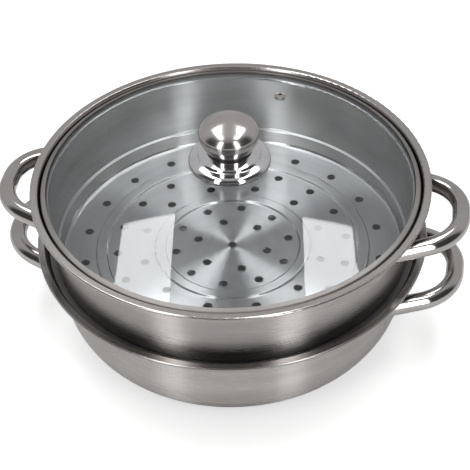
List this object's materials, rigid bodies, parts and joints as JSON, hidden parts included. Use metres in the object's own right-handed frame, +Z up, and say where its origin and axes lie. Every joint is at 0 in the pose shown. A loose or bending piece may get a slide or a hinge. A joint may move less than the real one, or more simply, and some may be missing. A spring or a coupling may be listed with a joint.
{
  "type": "steamer pot",
  "caption": "Two-tier stainless steamer pot: pot, perforated steamer nested in its mouth, and domed glass lid with ball knob and steam vent.",
  "frame": {"origin": "middle of the base, on the surface that the pot stands on", "axes": "+Z up; the pot's handles lie along X; +X is the right-hand handle seen from the front (-Y)"},
  "size_m": [0.3478, 0.29, 0.1861],
  "materials": {
    "pot_steel": "satin, brushed round the wall",
    "steamer_steel": "satin, brushed round the wall, floor turned",
    "base_steel": "satin, turned",
    "base_aluminium": "plain, hidden",
    "handle_steel": "mirror polished",
    "bracket_steel": "plain sheet",
    "hoop_steel": "polished",
    "vent_steel": "polished",
    "knob_steel": "mirror polished with faint turning lines",
    "fastener_steel": "plain",
    "spacer_black": "black heat-proof plastic",
    "seal_silicone": "dark silicone",
    "lid_glass": "clear tempered glass"
  },
  "bodies": {
    "pot": {"pot_shell": "pot_steel", "base_core": "base_aluminium", "base_cap": "base_steel", "pot_handle_right": "handle_steel", "pot_handle_left": "handle_steel", "pot_bracket_right_front": "bracket_steel", "pot_bracket_right_back": "bracket_steel", "pot_bracket_left_front": "bracket_steel", "pot_bracket_left_back": "bracket_steel"},
    "steamer": {"steamer_shell": "steamer_steel", "steamer_handle_right": "handle_steel", "steamer_handle_left": "handle_steel", "steamer_bracket_right_front": "bracket_steel", "steamer_bracket_right_back": "bracket_steel", "steamer_bracket_left_front": "bracket_steel", "steamer_bracket_left_back": "bracket_steel"},
    "lid": {"lid_glass": "lid_glass", "lid_hoop": "hoop_steel", "vent_eyelet": "vent_steel", "knob_dome": "knob_steel", "knob_cup": "knob_steel", "knob_bell": "knob_steel", "knob_insert": "fastener_steel", "knob_screw": "fastener_steel", "under_washer": "fastener_steel", "knob_spacer": "spacer_black", "bell_gasket": "seal_silicone", "under_gasket": "seal_silicone"}
  },
  "joints": [
    {"name": "steamer_lift", "type": "slide", "parent": "pot", "child": "steamer", "axis": [0, 0, 1], "range_m": [0, 0.12]},
    {"name": "lid_lift", "type": "slide", "parent": "steamer", "child": "lid", "axis": [0, 0, 1], "range_m": [0, 0.12]}
  ]
}
